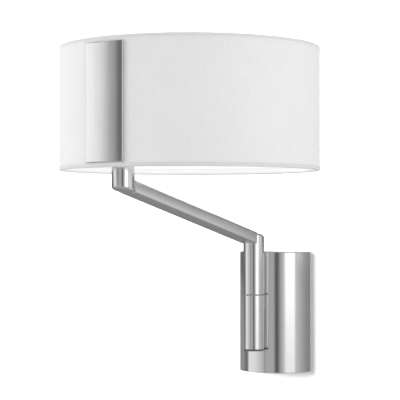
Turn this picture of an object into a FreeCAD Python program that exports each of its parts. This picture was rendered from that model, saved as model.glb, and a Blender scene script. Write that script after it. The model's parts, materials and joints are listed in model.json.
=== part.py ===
import FreeCAD, Part
import math
import os

from FreeCAD import Vector

# Swing arm wall sconce, in millimetres.
# The origin is the middle of the two wall screws, on the wall plane y = 0.
# The room is towards -Y and +Z is up. Arm pieces are built with the arm straight
# out from the wall and then turned about the post axis to the rest angle.

# ---- driving dimensions -------------------------------------------------------
REST_SWING = 7.0          # degrees the arm rests towards -X of straight out
SWING_LIMIT = 42.0        # degrees either side of straight out, set by the stop pin

COVER_R = 38.5            # half-round wall cover, outside radius
COVER_H = 123.0
COVER_WALL = 1.5
COVER_RIM_R = 0.4

POST_OUT = 51.0           # post axis in front of the wall
TUBE_R = 10.5
TUBE_WALL = 2.0
LOWER_POST_BOTTOM = -38.0
JOINT_Z = 18.0            # top of the fixed lower post
JOINT_GAP = 1.3           # visible joint line between the two posts
CAP_T = 2.0
CAP_INSET = 0.3           # the rubber end cap is a little smaller than its tube

BAR_REACH = 204.0         # post axis to stub axis
BAR_RISE = 51.8
BAR_W = 20.0
BAR_T = 11.0
BAR_WALL = 2.0            # top and bottom
BAR_SIDE_WALL = 3.6       # keeps the cut ends shut outside the round tubes
BAR_END_AT_POST = 8.2     # square-cut ends of the bar, short of the tubes' axes
BAR_END_AT_STUB = 5.8
BAR_UNDER_Z = 68.65       # underside of the bar on the post axis
BAR_EDGE_R = 1.2
TUBE_END_R = 2.2          # rounding of the closed tube ends
STUB_TOP = 233.0

SHADE_R = 125.0
SHADE_BOTTOM = 141.0
SHADE_TOP = 259.0
SHADE_BACK = 98.0         # shade axis, back from the stub axis towards the post
FABRIC_T = 0.7
LINER_T = 0.6
RING_WIRE_R = 1.5
SKIN_GAP = 0.05           # between pieces laid on each other

PLATE_ARC = 20.0          # degrees of the shade that the metal plate covers
PLATE_T = 2.0
PLATE_BOTTOM = 145.5
PLATE_TOP = 253.5
STRIP_T = 1.5
STUD_R = 2.0
STUD_END = 4.5            # stud left standing out of its nut's side of the stub
STUD_ZS = (167.0, 223.0)

HOLDER_Z = 200.0          # lampholder and bulb axis, level with the shade's middle
BULB_R = 30.0

NIPPLE_R = 5.0            # M10 x 1 hollow thread
NIPPLE_BORE_R = 3.5
RUN_FIT = 0.05            # radial clearance of the swivel bush on its nipple

CABLE_R = 1.8
CABLE_BEND = 9.0
CABLE_MEET_Z = 27.3       # where the fixed and the swinging cable meet on the axis

# ---- worked out ---------------------------------------------------------------
SLOPE = math.atan2(BAR_RISE, BAR_REACH)
BORE_R = TUBE_R - TUBE_WALL
POST_BASE_Z = JOINT_Z + JOINT_GAP
STUB_Y = -POST_OUT - BAR_REACH
SHADE_Y = STUB_Y + SHADE_BACK
INNER_FIT_R = BORE_R - SKIN_GAP
UP = Vector(0, 0, 1)
TO_WALL = Vector(0, 1, 0)
TO_ROOM = Vector(0, -1, 0)
SLOT_W = 0.8              # screwdriver slots


# ---- small helpers ------------------------------------------------------------
def post_point(z):
    return Vector(0, -POST_OUT, z)


def rod(radius, length, base, direction=UP):
    return Part.makeCylinder(radius, length, base, direction)


def tube(outer, inner, length, base, direction=UP):
    return rod(outer, length, base, direction).cut(rod(inner, length, base, direction))


def block(x0, x1, y0, y1, z0, z1):
    return Part.makeBox(x1 - x0, y1 - y0, z1 - z0, Vector(x0, y0, z0))


def hexagon(across_flats, length, base, direction=UP):
    """A six-sided bar with one pair of corners along X."""
    corner_r = across_flats / math.sqrt(3)
    points = []
    for i in range(7):
        turn = math.radians(60 * i)
        points.append(Vector(corner_r * math.cos(turn), corner_r * math.sin(turn), 0))
    bar = Part.Face(Part.makePolygon(points)).extrude(Vector(0, 0, length))
    bar.Placement = FreeCAD.Placement(base, FreeCAD.Rotation(UP, direction))
    return bar


def nut(across_flats, bore, height, base, direction=UP):
    return hexagon(across_flats, height, base, direction).cut(rod(bore, height, base, direction))


def sector(outer, inner, z0, z1, degrees, centre_y, facing=TO_ROOM):
    """A curved strip about a vertical axis, its middle pointing along facing."""
    ring = Part.makeCylinder(outer, z1 - z0, Vector(0, 0, z0), UP, degrees)
    ring = ring.cut(rod(inner, z1 - z0, Vector(0, 0, z0)))
    facing_degrees = math.degrees(math.atan2(facing.y, facing.x))
    ring.rotate(Vector(0, 0, 0), UP, facing_degrees - degrees / 2)
    ring.translate(Vector(0, centre_y, 0))
    return ring


def revolved(profile, origin, axis):
    """Turn a closed outline about an axis; profile holds (distance along, radius)."""
    across = Vector(0, 0, 1) if abs(axis.z) < 0.5 else Vector(1, 0, 0)
    points = [origin + axis * along + across * radius for along, radius in profile]
    face = Part.Face(Part.makePolygon(points + [points[0]]))
    return face.revolve(origin, axis, 360)


def pan_screw(thread_r, length, head_r, head_h, seat, direction):
    """A slotted pan head screw; seat is the centre under the head, direction points in."""
    head = [(0, 0), (0, head_r), (-head_h * 0.5, head_r), (-head_h, head_r * 0.7), (-head_h, 0)]
    screw = rod(thread_r, length, seat, direction).fuse(revolved(head, seat, direction))
    slot = block(-head_r, head_r, -SLOT_W / 2, SLOT_W / 2, 0, head_h * 0.5)
    slot.Placement = FreeCAD.Placement(seat - direction * head_h, FreeCAD.Rotation(UP, direction))
    return screw.cut(slot).removeSplitter()


def cable(points, bends, radius):
    """A round cable of straight runs joined by tangent arcs."""
    edges = []
    start = points[0]
    length = 0.0
    for i in range(1, len(points) - 1):
        back = (points[i - 1] - points[i]).normalize()
        ahead = (points[i + 1] - points[i]).normalize()
        half_turn = (math.pi - back.getAngle(ahead)) / 2
        setback = bends[i - 1] * math.tan(half_turn)
        enter = points[i] + back * setback
        leave = points[i] + ahead * setback
        inward = (back + ahead).normalize()
        centre = points[i] + inward * (bends[i - 1] / math.cos(half_turn))
        middle = centre - inward * bends[i - 1]
        edges.append(Part.LineSegment(start, enter).toShape())
        edges.append(Part.Arc(enter, middle, leave).toShape())
        length += (enter - start).Length + 2 * half_turn * bends[i - 1]
        start = leave
    edges.append(Part.LineSegment(start, points[-1]).toShape())
    length += (points[-1] - start).Length
    path = Part.Wire(edges)
    section = Part.Wire(Part.makeCircle(radius, points[0], points[1] - points[0]))
    solid = path.makePipeShell([section], True, False)
    expected = math.pi * radius ** 2 * length
    print("cable: length %.1f, volume ratio %.4f, bends %s" % (length, solid.Volume / expected, bends))
    return solid


# ---- fixed pieces on the wall -------------------------------------------------
PLATE_HALF_W = 35.0
WALL_PLATE_T = 2.0
TAB_T = 1.8
TAB_GAP = 0.3             # between the plate's tabs and the cover's ends
PLATE_HALF_H = COVER_H / 2 - COVER_WALL - TAB_GAP - TAB_T
WALL_SLOT_Z = 30.0        # two slots on the vertical centre line, 60 apart
WALL_SLOT_R = 2.25
WALL_SLOT_L = 12.0
TAB_W = 24.0
TAB_DEPTH = 14.0
COVER_SCREW_Y = -8.0
COVER_THREAD_R = 1.65
COVER_HEAD_R = 3.0
COVER_SCREW_L = 8.0
COVER_SLOT_DEPTH = 0.7
GROMMET_Z = 8.0
GROMMET_R = 7.0
EARTH_X = -24.0
BLOCK_TOP = -6.0
BLOCK_BOTTOM = -21.0
BLOCK_HALF_W = 14.0
BLOCK_DEPTH = 15.0
POLE_XS = (-9.0, 0.0, 9.0)
BLOCK_SCREW_X = 4.5


def wall_plate():
    plate = block(-PLATE_HALF_W, PLATE_HALF_W, -WALL_PLATE_T, 0, -PLATE_HALF_H, PLATE_HALF_H)
    corners = [e for e in plate.Edges if abs(e.tangentAt(0).y) > 0.99]
    plate = plate.makeFillet(4.0, corners)
    for side in (-1, 1):
        tab_face = side * PLATE_HALF_H
        low, high = sorted((tab_face, tab_face + side * TAB_T))
        tab = block(-TAB_W / 2, TAB_W / 2, -TAB_DEPTH, 0, low, high)
        screw_hole = rod(1.7, 10, Vector(0, COVER_SCREW_Y, tab_face - 5))
        plate = plate.fuse(tab.cut(screw_hole))
        slot_half = WALL_SLOT_L / 2 - WALL_SLOT_R
        for end in (-1, 1):
            at = Vector(0, -5, side * WALL_SLOT_Z + end * slot_half)
            plate = plate.cut(rod(WALL_SLOT_R, 10, at, TO_WALL))
        middle = block(-WALL_SLOT_R, WALL_SLOT_R, -5, 5,
                       side * WALL_SLOT_Z - slot_half, side * WALL_SLOT_Z + slot_half)
        plate = plate.cut(middle)
    plate = plate.cut(rod(GROMMET_R, 10, Vector(0, -5, GROMMET_Z), TO_WALL))
    plate = plate.cut(rod(1.7, 10, Vector(EARTH_X, -5, GROMMET_Z), TO_WALL))
    block_mid = (BLOCK_TOP + BLOCK_BOTTOM) / 2
    plate = plate.cut(rod(1.25, 10, Vector(BLOCK_SCREW_X, -5, block_mid), TO_WALL))
    return plate.removeSplitter()


def half_round(radius, z0, z1):
    room_side = block(-radius, radius, -radius, 0, z0, z1)
    return rod(radius, z1 - z0, Vector(0, 0, z0)).common(room_side)


SADDLE_HALF_W = 5.0
SADDLE_BOTTOM = -34.0
SADDLE_TOP = 4.0
SADDLE_SCREW_ZS = (-29.0, -15.0)
WIRE_HOLE_Z = -3.0
WIRE_HOLE_R = 2.8
SADDLE_SCREW_R = 2.0
SCREW_CLEAR_R = 2.15
BACKING_T = 1.5
BACKING_DEGREES = 36.0


def saddle_holes(radius):
    """The drillings that run from inside the cover to the lower post."""
    holes = rod(WIRE_HOLE_R, POST_OUT, Vector(0, 0, WIRE_HOLE_Z), TO_ROOM)
    for z in SADDLE_SCREW_ZS:
        holes = holes.fuse(rod(radius, POST_OUT, Vector(0, 0, z), TO_ROOM))
    return holes


def wall_cover():
    half_h = COVER_H / 2
    inner_r = COVER_R - COVER_WALL
    shell = half_round(COVER_R, -half_h, half_h)
    rims = []
    for edge in shell.Edges:
        middle = edge.CenterOfMass
        if abs(abs(middle.z) - half_h) < 0.01 and middle.y < -COVER_R / 3:
            rims.append(edge)
    shell = shell.makeFillet(COVER_RIM_R, rims)
    shell = shell.cut(half_round(inner_r, -half_h + COVER_WALL, half_h - COVER_WALL))
    for side in (-1, 1):
        shell = shell.cut(rod(SCREW_CLEAR_R, 10, Vector(0, COVER_SCREW_Y, side * half_h - 5)))
        shell = shell.cut(countersunk_head(SKIN_GAP, side))
    return shell.cut(saddle_holes(SCREW_CLEAR_R))


def countersunk_head(clearance, side):
    """The sunk head of a cover screw, flush with the cover's top (side 1) or bottom (side -1)."""
    face = Vector(0, COVER_SCREW_Y, side * COVER_H / 2)
    inward = Vector(0, 0, -side)
    wide = COVER_HEAD_R + clearance
    narrow = COVER_THREAD_R + clearance
    return Part.makeCone(wide, narrow, wide - narrow, face, inward)


def cover_screws():
    screws = []
    for side in (-1, 1):
        face = Vector(0, COVER_SCREW_Y, side * COVER_H / 2)
        inward = Vector(0, 0, -side)
        screw = countersunk_head(0, side).fuse(rod(COVER_THREAD_R, COVER_SCREW_L, face, inward))
        slot_z = sorted((face.z, face.z - side * COVER_SLOT_DEPTH))
        slot = block(-COVER_HEAD_R, COVER_HEAD_R, face.y - SLOT_W / 2, face.y + SLOT_W / 2, *slot_z)
        screws.append(screw.cut(slot).removeSplitter())
    return screws


def cover_backing():
    outer = COVER_R - COVER_WALL - SKIN_GAP
    strip = sector(outer, outer - BACKING_T, SADDLE_BOTTOM - 4, SADDLE_TOP + 4, BACKING_DEGREES, 0)
    return strip.cut(saddle_holes(SCREW_CLEAR_R))


def saddle():
    height = SADDLE_TOP - SADDLE_BOTTOM
    body = block(-SADDLE_HALF_W, SADDLE_HALF_W, -POST_OUT, -COVER_R * 0.9, SADDLE_BOTTOM, SADDLE_TOP)
    body = body.cut(rod(COVER_R + SKIN_GAP, height, Vector(0, 0, SADDLE_BOTTOM)))
    body = body.cut(rod(TUBE_R + SKIN_GAP, height, post_point(SADDLE_BOTTOM)))
    return body.cut(saddle_holes(SCREW_CLEAR_R))


def saddle_screws():
    seat_y = -(COVER_R - COVER_WALL - SKIN_GAP - BACKING_T) + 0.25
    core_depth = 6.0
    length = POST_OUT - TUBE_R + TUBE_WALL + core_depth + seat_y
    screws = []
    for z in SADDLE_SCREW_ZS:
        screws.append(pan_screw(SADDLE_SCREW_R, length, 3.5, 2.6, Vector(0, seat_y, z), TO_ROOM))
    return screws


def lower_post():
    bottom = LOWER_POST_BOTTOM + CAP_T
    body = tube(TUBE_R, BORE_R, JOINT_Z - bottom, post_point(bottom))
    return body.cut(saddle_holes(SCREW_CLEAR_R))


CORE_TOP = -9.0


def post_core():
    """Threaded bar inside the lower post that the saddle screws pull on."""
    bottom = SADDLE_BOTTOM + 0.5
    core = rod(INNER_FIT_R, CORE_TOP - bottom, post_point(bottom))
    for z in SADDLE_SCREW_ZS:
        core = core.cut(rod(SADDLE_SCREW_R, POST_OUT, Vector(0, 0, z), TO_ROOM))
    return core


def lower_cap():
    disc = rod(TUBE_R - CAP_INSET, CAP_T - SKIN_GAP, post_point(LOWER_POST_BOTTOM))
    disc = disc.makeFillet(0.8, [e for e in disc.Edges if abs(e.CenterOfMass.z - LOWER_POST_BOTTOM) < 0.01])
    spigot = rod(INNER_FIT_R, CAP_T + 1.5, post_point(LOWER_POST_BOTTOM))
    return disc.fuse(spigot.cut(rod(INNER_FIT_R + 1, 0.5, post_point(LOWER_POST_BOTTOM))))


PLUG_BOTTOM = 8.0
STOP_R = 6.7              # stop pin, out from the post axis
STOP_PIN_R = 1.1
STOP_PIN_TOP = 22.5


def swivel_plug():
    """Boss in the top of the lower post that the hollow nipple screws into."""
    plug = tube(INNER_FIT_R, NIPPLE_R, JOINT_Z - PLUG_BOTTOM, post_point(PLUG_BOTTOM))
    pin_seat = Vector(0, -POST_OUT + STOP_R, JOINT_Z - 5)
    return plug.cut(rod(STOP_PIN_R, 10, pin_seat))


BUSH_BOTTOM = POST_BASE_Z + 0.2
BUSH_TOP = 34.0
NIPPLE_TOP = 44.0
SPRING_T = 1.5
NUT_H = 3.0
NUT_FLATS = 13.4
PIVOT_STACK_GAP = 0.1


def swivel_nipple():
    length = NIPPLE_TOP - PLUG_BOTTOM
    return tube(NIPPLE_R, NIPPLE_BORE_R, length, post_point(PLUG_BOTTOM))


def joint_washer():
    gap = (JOINT_GAP - 1.0) / 2
    return tube(TUBE_R - 0.5, BORE_R + 0.1, 1.0, post_point(JOINT_Z + gap))


def spring_washer():
    return tube(7.6, NIPPLE_R + 0.1, SPRING_T, post_point(BUSH_TOP + PIVOT_STACK_GAP))


def swivel_nuts():
    nuts = []
    z = BUSH_TOP + SPRING_T + 2 * PIVOT_STACK_GAP
    for _ in range(2):
        nuts.append(nut(NUT_FLATS, NIPPLE_R, NUT_H, post_point(z)))
        z += NUT_H + PIVOT_STACK_GAP
    return nuts


def stop_pin():
    length = STOP_PIN_TOP - JOINT_Z + 5
    return rod(STOP_PIN_R, length, Vector(0, -POST_OUT + STOP_R, JOINT_Z - 5))


def cable_grommet():
    base = Vector(0, 0, GROMMET_Z)
    flange_out = GROMMET_R + 1.8
    profile = [(0, 4.0), (0, GROMMET_R - 0.1), (WALL_PLATE_T, GROMMET_R - 0.1),
               (WALL_PLATE_T, flange_out), (WALL_PLATE_T + 1.6, flange_out - 0.4),
               (WALL_PLATE_T + 3.0, 5.0), (WALL_PLATE_T + 3.0, 4.0)]
    return revolved(profile, base, TO_ROOM)


def terminal_block():
    base_y = -WALL_PLATE_T
    front_y = base_y - BLOCK_DEPTH
    body = block(-BLOCK_HALF_W, BLOCK_HALF_W, front_y, base_y, BLOCK_BOTTOM, BLOCK_TOP)
    body = body.makeChamfer(0.8, [e for e in body.Edges if abs(e.CenterOfMass.y - front_y) < 0.01])
    height = BLOCK_TOP - BLOCK_BOTTOM
    for x in POLE_XS:
        body = body.cut(rod(2.6, height, Vector(x, base_y - 7, BLOCK_BOTTOM)))
        for z in (BLOCK_BOTTOM + 4, BLOCK_TOP - 4):
            body = body.cut(rod(1.9, BLOCK_DEPTH - 7, Vector(x, base_y - 7, z), TO_ROOM))
    middle = (BLOCK_BOTTOM + BLOCK_TOP) / 2
    screw_way = rod(1.6, BLOCK_DEPTH, Vector(BLOCK_SCREW_X, base_y, middle), TO_ROOM)
    head_way = rod(1.9, 4, Vector(BLOCK_SCREW_X, front_y, middle), TO_WALL)
    return body.cut(screw_way).cut(head_way)


def terminal_clamps():
    """Brass sleeves in the terminal block, bored for the wires and the screws."""
    clamps = []
    for x in POLE_XS:
        y = -WALL_PLATE_T - 7
        sleeve = tube(2.5, 1.9, BLOCK_TOP - BLOCK_BOTTOM - 3, Vector(x, y, BLOCK_BOTTOM + 1.5))
        for z in (BLOCK_BOTTOM + 4, BLOCK_TOP - 4):
            sleeve = sleeve.cut(rod(1.25, 5, Vector(x, y, z), TO_ROOM))
        clamps.append(sleeve)
    return clamps


def terminal_screws():
    screws = []
    for x in POLE_XS:
        for z in (BLOCK_BOTTOM + 4, BLOCK_TOP - 4):
            tip = Vector(x, -WALL_PLATE_T - 8.0, z)
            shank = rod(1.2, 3.5, tip, TO_ROOM)
            head = rod(1.8, 1.8, tip + TO_ROOM * 3.5, TO_ROOM)
            slot = block(x - 2, x + 2, tip.y - 5.3, tip.y - 4.6, z - 0.25, z + 0.25)
            screws.append(shank.fuse(head).cut(slot))
    return screws


def terminal_block_screw():
    middle = (BLOCK_BOTTOM + BLOCK_TOP) / 2
    seat = Vector(BLOCK_SCREW_X, -WALL_PLATE_T - BLOCK_DEPTH + 4 - 0.05, middle)
    return rod(1.2, BLOCK_DEPTH - 4 + WALL_PLATE_T - 0.3, seat, TO_WALL).fuse(
        rod(1.85, 1.6, seat, TO_ROOM))


def earth_terminal():
    seat = Vector(EARTH_X, -WALL_PLATE_T - 1.3, GROMMET_Z)
    screw = pan_screw(1.65, 3.1, 3.4, 2.0, seat, TO_WALL)
    lug = block(EARTH_X - 4, EARTH_X + 4, seat.y + 0.1, seat.y + 1.2, GROMMET_Z - 4, GROMMET_Z + 4)
    lug = lug.cut(rod(1.7, 5, Vector(EARTH_X, seat.y - 1, GROMMET_Z), TO_WALL))
    return [screw, lug]


def supply_cable():
    block_y = -WALL_PLATE_T - 7
    loop_y = -26.0
    loop_z = -39.0
    points = [Vector(0, block_y, BLOCK_BOTTOM - 0.1), Vector(0, block_y, loop_z),
              Vector(0, loop_y, loop_z), Vector(0, loop_y, WIRE_HOLE_Z),
              post_point(WIRE_HOLE_Z), post_point(CABLE_MEET_Z - SKIN_GAP)]
    return cable(points, [7.5, 7.5, CABLE_BEND, CABLE_BEND], CABLE_R)


# ---- the swinging arm ---------------------------------------------------------
def bar_under(reach):
    """Height of the bar's underside at a distance from the post axis."""
    return BAR_UNDER_Z + reach * math.tan(SLOPE)


def sloped_half_space(offset, above):
    """A big block above or below the bar's underside plane moved up by offset."""
    size = 600.0
    z0 = 0 if above else -size
    space = block(-size / 2, size / 2, -size, size, z0, z0 + size)
    space.rotate(Vector(0, 0, 0), Vector(1, 0, 0), -math.degrees(SLOPE))
    rise = offset / math.cos(SLOPE)
    space.translate(Vector(0, -POST_OUT, BAR_UNDER_Z + rise))
    return space


def edges_on_plane(shape, offset):
    """The edges that lie in the sloped plane, offset up from the bar's underside."""
    found = []
    for edge in shape.Edges:
        middle = edge.CenterOfMass
        height = (middle.z - bar_under(-POST_OUT - middle.y)) * math.cos(SLOPE)
        if abs(height - offset) < 0.01:
            found.append(edge)
    return found


def sloped_bar(width, low, high, edge_r, post_end, stub_end):
    """A bar along the slope, ending square at the given distances from the tubes' axes."""
    bar = block(-width / 2, width / 2, -BAR_REACH * 1.5, BAR_REACH * 0.5, low, high)
    if edge_r:
        long_edges = [e for e in bar.Edges if abs(e.tangentAt(e.FirstParameter).y) > 0.99]
        bar = bar.makeFillet(edge_r, long_edges)
    bar.rotate(Vector(0, 0, 0), Vector(1, 0, 0), -math.degrees(SLOPE))
    bar.translate(Vector(0, -POST_OUT, BAR_UNDER_Z))
    between = block(-BAR_W, BAR_W, STUB_Y + stub_end, -POST_OUT - post_end, 0, STUB_TOP)
    return bar.common(between)


def arm_shell():
    """Post, bar and stub as one hollow weldment, before it is parted at the welds."""
    post = rod(TUBE_R, STUB_TOP, post_point(POST_BASE_Z)).cut(sloped_half_space(BAR_T, True))
    post = post.makeFillet(TUBE_END_R, edges_on_plane(post, BAR_T))
    stub = rod(TUBE_R, STUB_TOP, Vector(0, STUB_Y, 0)).cut(sloped_half_space(0, False))
    stub = stub.makeFillet(TUBE_END_R, edges_on_plane(stub, 0))
    bar = sloped_bar(BAR_W, 0, BAR_T, BAR_EDGE_R, BAR_END_AT_POST, BAR_END_AT_STUB)
    outside = post.fuse([bar, stub])

    post_bore = rod(BORE_R, STUB_TOP, post_point(POST_BASE_Z))
    post_bore = post_bore.cut(sloped_half_space(BAR_T - BAR_WALL, True))
    stub_bore = rod(BORE_R, STUB_TOP, Vector(0, STUB_Y, 0))
    stub_bore = stub_bore.cut(sloped_half_space(BAR_WALL, False))
    bar_bore = sloped_bar(BAR_W - 2 * BAR_SIDE_WALL, BAR_WALL, BAR_T - BAR_WALL, 0, 0, 0)
    hollow = post_bore.fuse([bar_bore, stub_bore])
    return outside.cut(hollow)


def post_side():
    return rod(TUBE_R, STUB_TOP * 2, post_point(-STUB_TOP))


def stub_side():
    return rod(TUBE_R, STUB_TOP * 2, Vector(0, STUB_Y, -STUB_TOP))


BUSH_SCREW_Z = 28.5
BUSH_SCREW_R = 1.9


def upper_post(shell):
    post = shell.common(post_side())
    return post.cut(rod(BUSH_SCREW_R, TUBE_R + 1, post_point(BUSH_SCREW_Z), TO_WALL))


def arm_bar(shell):
    return shell.cut(post_side()).cut(stub_side())


def shade_stub(shell):
    stub = shell.common(stub_side())
    for z in STUD_ZS:
        stub = stub.cut(rod(STUD_R + 0.15, 4 * TUBE_R, Vector(0, STUB_Y - 2 * TUBE_R, z), TO_WALL))
    return stub.cut(rod(NIPPLE_R + 0.2, 2 * TUBE_R, Vector(0, STUB_Y, HOLDER_Z), TO_WALL))


def swivel_bush():
    """Bush fixed in the upper post; its groove lets the stop pin travel."""
    height = BUSH_TOP - BUSH_BOTTOM
    bush = tube(INNER_FIT_R, NIPPLE_R + RUN_FIT, height, post_point(BUSH_BOTTOM))
    pin_half = math.degrees(math.asin(STOP_PIN_R / STOP_R))
    groove = sector(STOP_R + STOP_PIN_R + 0.3, STOP_R - STOP_PIN_R - 0.3, BUSH_BOTTOM,
                    STOP_PIN_TOP + 0.5, 2 * (SWING_LIMIT + pin_half + 2), -POST_OUT, TO_WALL)
    bush = bush.cut(groove)
    return bush.cut(rod(BUSH_SCREW_R, TUBE_R, post_point(BUSH_SCREW_Z), TO_WALL))


def bush_screw():
    """Grub screw that locks the upper post on its bush, on the wall side."""
    tip = Vector(0, -POST_OUT + NIPPLE_R + 0.6, BUSH_SCREW_Z)
    length = TUBE_R - 0.3 - NIPPLE_R - 0.6
    screw = rod(BUSH_SCREW_R - SKIN_GAP, length, tip, TO_WALL)
    return screw.cut(hexagon(1.8, 2, tip + TO_WALL * (length - 1.5), TO_WALL))


PLUG_Z0 = 187.0
STUB_CAP_T = 2.0


def stub_plug():
    """Closes the stub's top and carries the lampholder nipple."""
    plug = rod(INNER_FIT_R, STUB_TOP - PLUG_Z0, Vector(0, STUB_Y, PLUG_Z0))
    cap = rod(TUBE_R, STUB_CAP_T, Vector(0, STUB_Y, STUB_TOP + SKIN_GAP))
    cap = cap.makeFillet(0.8, [e for e in cap.Edges if e.CenterOfMass.z > STUB_TOP + 1.9])
    neck = rod(INNER_FIT_R, 1, Vector(0, STUB_Y, STUB_TOP - 0.5))
    plug = plug.fuse([neck, cap])
    plug = plug.cut(rod(4.5, HOLDER_Z + 4 - PLUG_Z0, Vector(0, STUB_Y, PLUG_Z0)))
    plug = plug.cut(rod(NIPPLE_R, 2 * TUBE_R, Vector(0, STUB_Y, HOLDER_Z), TO_WALL))
    plug = plug.cut(rod(STUD_R + 0.15, 4 * TUBE_R, Vector(0, STUB_Y - 2 * TUBE_R, STUD_ZS[1]), TO_WALL))
    return plug.removeSplitter()


HOLDER_BACK = 13.8        # back of the lampholder, in from the stub axis
CAP_LENGTH = 16.0
BARREL_LENGTH = 38.0
BARREL_R = 19.5
BARREL_WALL = 2.5


def holder_point(inward):
    """A point on the lampholder's axis, inward from the stub axis."""
    return Vector(0, STUB_Y + inward, HOLDER_Z)


def holder_nipple():
    return tube(NIPPLE_R, NIPPLE_BORE_R, 15.5, holder_point(6.0), TO_WALL)


def holder_nut():
    return nut(NUT_FLATS + 1, NIPPLE_R, 2.8, holder_point(TUBE_R + 0.25), TO_WALL)


def holder_cap():
    length = CAP_LENGTH - 0.1
    profile = [(0, NIPPLE_R), (0, 10.0), (2, 13.0), (7, 18.0), (length, BARREL_R - 0.5),
               (length, BARREL_R - BARREL_WALL - 0.5), (9, 15.5), (4, 11.0), (4, NIPPLE_R)]
    return revolved(profile, holder_point(HOLDER_BACK), TO_WALL)


def holder_barrel():
    start = HOLDER_BACK + CAP_LENGTH
    rib = 0.5
    profile = [(0, BARREL_R - BARREL_WALL), (0, BARREL_R)]
    ribs = 5
    for i in range(ribs):
        along = 14 + i * 4.0
        profile += [(along, BARREL_R), (along + 0.6, BARREL_R + rib),
                    (along + 1.6, BARREL_R + rib), (along + 2.2, BARREL_R)]
    profile += [(BARREL_LENGTH, BARREL_R), (BARREL_LENGTH, BARREL_R - BARREL_WALL)]
    return revolved(profile, holder_point(start), TO_WALL)


INSERT_START = HOLDER_BACK + 11.0
INSERT_LENGTH = 18.0


def holder_insert():
    insert = rod(14.6, INSERT_LENGTH, holder_point(INSERT_START), TO_WALL)
    way = rod(2.4, INSERT_LENGTH, holder_point(INSERT_START), TO_WALL)
    return insert.cut(way)


BULB_START = INSERT_START + INSERT_LENGTH + 2.0   # tip of the bulb's cap
SCREW_SHELL_R = 13.9
BULB_CAP_L = 25.5


def holder_contacts():
    """Spring centre contact and threaded side shell of the lampholder."""
    shell_start = INSERT_START + INSERT_LENGTH + 0.1
    shell = tube(SCREW_SHELL_R + 0.5, SCREW_SHELL_R, 22, holder_point(shell_start), TO_WALL)
    centre = rod(2.2, INSERT_LENGTH + 1.2, holder_point(INSERT_START + 0.5), TO_WALL)
    return [shell, centre]


def bulb_cap():
    """Edison screw cap with rounded threads as rings."""
    profile = [(0, 0), (0, 4.6), (1.5, 4.6), (4.0, 11.5)]
    turns = 5
    pitch = 3.6
    for i in range(turns):
        along = 5.0 + i * pitch
        profile += [(along, 12.4), (along + pitch * 0.3, 13.2), (along + pitch * 0.7, 13.2)]
    profile += [(BULB_CAP_L - 1.5, 12.4), (BULB_CAP_L, 13.2), (BULB_CAP_L, 0)]
    return revolved(profile, holder_point(BULB_START), TO_WALL)


def bulb_outline(wall):
    """Bulb envelope, from its neck to its tip, wall thinner than the outside."""
    base = BULB_START + BULB_CAP_L + 0.1
    sphere_at = base + 51.0
    radius = BULB_R - wall
    neck_r = 13.2 - wall
    meet = math.radians(38)
    along_meet = -radius * math.cos(meet)
    radius_meet = radius * math.sin(meet)
    return base, sphere_at, radius, neck_r, along_meet, radius_meet


def bulb_solid(wall):
    base, sphere_at, radius, neck_r, along_meet, radius_meet = bulb_outline(wall)

    def at(along, out):
        return Vector(0, STUB_Y + along, HOLDER_Z + out)

    meet = at(sphere_at + along_meet, radius_meet)
    side = at(sphere_at, radius)
    tip = at(sphere_at + radius, 0)
    bulge = at(sphere_at + radius * math.cos(math.radians(45)), radius * math.sin(math.radians(45)))
    shoulder_angle = math.radians(64)
    shoulder = at(sphere_at - radius * math.cos(shoulder_angle), radius * math.sin(shoulder_angle))
    neck = at(base, neck_r)
    neck_end = at(base + 9, neck_r + 0.8)
    edges = [Part.LineSegment(at(base, 0), neck).toShape(),
             Part.LineSegment(neck, neck_end).toShape(),
             Part.LineSegment(neck_end, meet).toShape(),
             Part.Arc(meet, shoulder, side).toShape(),
             Part.Arc(side, bulge, tip).toShape(),
             Part.LineSegment(tip, at(base, 0)).toShape()]
    face = Part.Face(Part.Wire(edges))
    return face.revolve(holder_point(0), TO_WALL, 360)


def bulb_glass():
    outer = bulb_solid(0)
    inner = bulb_solid(1.0)
    inner = inner.cut(rod(BULB_R, 1.0, holder_point(BULB_START + BULB_CAP_L + 0.1), TO_WALL))
    return outer.cut(inner)


def shade_skin(outer, thickness, margin):
    """One layer of the drum, drilled for the plate's studs."""
    height = SHADE_TOP - SHADE_BOTTOM - 2 * margin
    base = Vector(0, SHADE_Y, SHADE_BOTTOM + margin)
    skin = tube(outer, outer - thickness, height, base)
    for z in STUD_ZS:
        skin = skin.cut(rod(STUD_R + 0.3, SHADE_R + 5, Vector(0, SHADE_Y, z), TO_ROOM))
    return skin


def shade_fabric():
    return shade_skin(SHADE_R, FABRIC_T, 0)


def shade_liner():
    return shade_skin(SHADE_R - FABRIC_T - SKIN_GAP, LINER_T, 0.4)


def ring_radius():
    return SHADE_R - FABRIC_T - LINER_T - 2 * SKIN_GAP - RING_WIRE_R


def shade_ring(z):
    return Part.makeTorus(ring_radius(), RING_WIRE_R, Vector(0, SHADE_Y, z), UP)


def shade_plate():
    inner = SHADE_R + SKIN_GAP
    plate = sector(inner + PLATE_T, inner, PLATE_BOTTOM, PLATE_TOP, PLATE_ARC, SHADE_Y)
    outer_edges = []
    for edge in plate.Edges:
        middle = edge.valueAt((edge.FirstParameter + edge.LastParameter) / 2)
        if math.hypot(middle.x, middle.y - SHADE_Y) > inner + PLATE_T - 0.1:
            outer_edges.append(edge)
    return plate.makeFillet(0.6, outer_edges)


def plate_studs():
    """Two studs that draw the plate, shade and spacers against the stub."""
    studs = []
    for z in STUD_ZS:
        start = Vector(0, SHADE_Y - SHADE_R, z)
        studs.append(rod(STUD_R, SHADE_R - SHADE_BACK + TUBE_R + STUD_END, start, TO_WALL))
    return studs


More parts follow.
